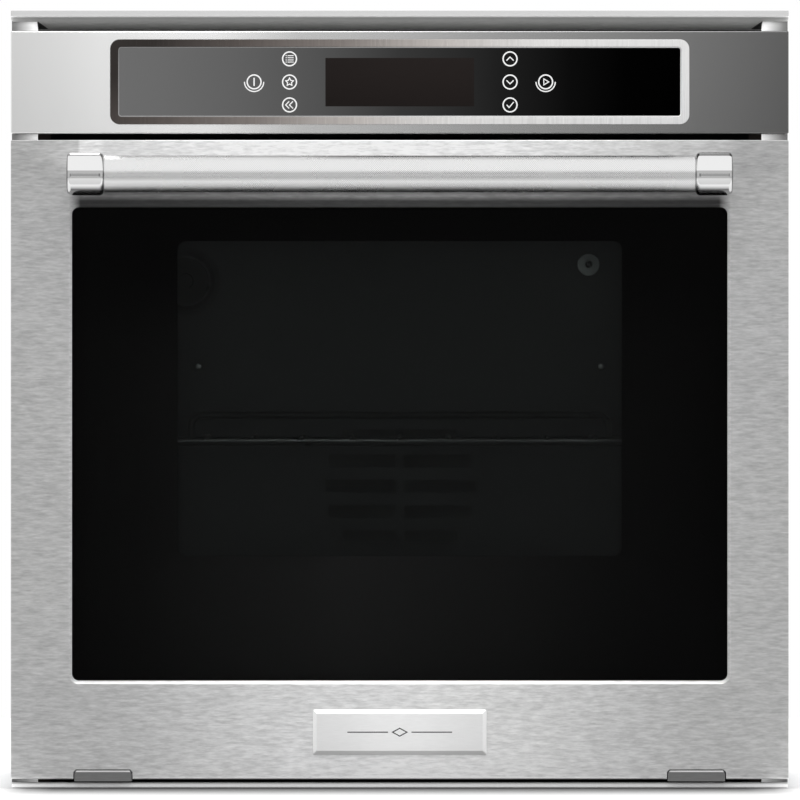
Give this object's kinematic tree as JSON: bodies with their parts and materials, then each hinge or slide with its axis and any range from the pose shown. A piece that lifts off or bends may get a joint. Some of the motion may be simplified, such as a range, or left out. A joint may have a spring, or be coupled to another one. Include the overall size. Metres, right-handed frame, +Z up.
{
  "type": "wall oven",
  "caption": "Built-in wall oven with a drop-down glazed door, knurled bar handle, touch control panel, fan-assisted enamelled cavity and a sliding wire rack.",
  "frame": {"origin": "middle of the overall width and depth, at the underside of the base rails", "axes": "+X to the right of somebody facing the oven, +Y into the cabinet, +Z up; the door opens towards -Y"},
  "size_m": [0.595, 0.658, 0.595],
  "materials": {
    "brushed_stainless": "fine horizontal grain, satin",
    "satin_stainless": "smooth satin",
    "frame_steel": "smooth stainless sheet",
    "polished_chrome": "mirror polish",
    "knurled_bar": "fine diamond knurl, satin",
    "galvanised_steel": "zinc-coated sheet",
    "black_enamel": "glossy vitreous enamel",
    "black_glass": "glossy tinted glass",
    "door_glass": "glossy tinted glass with a black printed border",
    "clear_glass": "clear float glass",
    "seal": "woven high-temperature seal",
    "black_plastic": "moulded",
    "chromed_wire": "bright plated wire",
    "element_sheath": "oxidised heating-element sheath",
    "glass_wool": "fibrous",
    "circuit_board": "solder mask",
    "aluminium": "pressed and machined",
    "plate": "bright satin"
  },
  "bodies": {
    "chassis": {"air_duct": "galvanised_steel", "bake_element": "element_sheath", "base_panel": "galvanised_steel", "base_rail_left": "galvanised_steel", "base_rail_right": "galvanised_steel", "blower_housing": "galvanised_steel", "blower_motor": "aluminium", "bottom_trim": "brushed_stainless", "broil_element": "element_sheath", "cable_gland": "black_plastic", "cavity_liner": "black_enamel", "control_bezel": "satin_stainless", "control_board": "circuit_board", "control_fascia": "brushed_stainless", "control_glass": "black_glass", "convection_motor": "aluminium", "display_module": "black_plastic", "door_gasket": "seal", "door_switch_body": "black_plastic", "fan_cover": "black_enamel", "front_frame": "frame_steel", "hinge_arm_left": "satin_stainless", "hinge_arm_right": "satin_stainless", "hinge_receiver_left": "galvanised_steel", "hinge_receiver_right": "galvanised_steel", "hinge_spring_left": "chromed_wire", "hinge_spring_right": "chromed_wire", "insulation_blanket": "glass_wool", "lamp_housing": "black_plastic", "lamp_lens": "clear_glass", "rack_guide_left": "chromed_wire", "rack_guide_right": "chromed_wire", "rear_panel": "galvanised_steel", "ring_element": "element_sheath", "side_panel_left": "galvanised_steel", "side_panel_right": "galvanised_steel", "temperature_probe": "chromed_wire", "terminal_box": "galvanised_steel", "top_panel": "galvanised_steel", "top_trim": "brushed_stainless"},
    "door": {"hinge_bracket_left": "galvanised_steel", "hinge_bracket_right": "galvanised_steel", "hinge_pin_left": "chromed_wire", "hinge_pin_right": "chromed_wire", "door_skin": "brushed_stainless", "outer_glass": "door_glass", "door_liner": "black_enamel", "window_shroud": "black_enamel", "middle_glass": "clear_glass", "inner_glass": "clear_glass", "handle_post_left": "polished_chrome", "handle_post_right": "polished_chrome", "handle_bar": "knurled_bar", "name_plate": "plate"},
    "rack": {"wire_rack": "chromed_wire"},
    "convection_rotor": {"convection_fan": "aluminium"},
    "blower_rotor": {"blower_impeller": "aluminium"},
    "switch_plunger": {"door_switch_plunger": "black_plastic"},
    "rod_left": {"spring_rod_left": "galvanised_steel"},
    "rod_right": {"spring_rod_right": "galvanised_steel"}
  },
  "joints": [
    {"name": "door_hinge", "type": "hinge", "parent": "chassis", "child": "door", "pos_m": [0, -0.2502, 0.0187], "axis": [1, 0, 0], "range_deg": [0, 90], "stiffness_Nm_per_rad": 8, "springref_deg": -14.32},
    {"name": "rack_slide", "type": "slide", "parent": "chassis", "child": "rack", "axis": [0, -1, 0], "range_m": [0, 0.25]},
    {"name": "convection_spin", "type": "hinge", "parent": "chassis", "child": "convection_rotor", "pos_m": [0, 0.22, 0.229], "axis": [0, 1, 0], "continuous": true},
    {"name": "blower_spin", "type": "hinge", "parent": "chassis", "child": "blower_rotor", "pos_m": [0, 0.1885, 0.5], "axis": [0, 0, 1], "continuous": true},
    {"name": "switch_travel", "type": "slide", "parent": "chassis", "child": "switch_plunger", "axis": [0, -1, 0], "range_m": [0, 0.003]},
    {"name": "rod_slide_left", "type": "slide", "parent": "chassis", "child": "rod_left", "axis": [0, -1, 0], "range_m": [0, 0.017], "deforming": ["hinge_spring_left"]},
    {"name": "rod_slide_right", "type": "slide", "parent": "chassis", "child": "rod_right", "axis": [0, -1, 0], "range_m": [0, 0.017], "deforming": ["hinge_spring_right"]}
  ],
  "couplings": [
    {"joint": "rack_slide", "follows": "door_hinge", "m_per_rad": 0.159},
    {"joint": "switch_travel", "follows": "door_hinge", "m_per_rad": 0.0019},
    {"joint": "rod_slide_left", "follows": "door_hinge", "m_per_rad": 0.0108},
    {"joint": "rod_slide_right", "follows": "door_hinge", "m_per_rad": 0.0108}
  ]
}
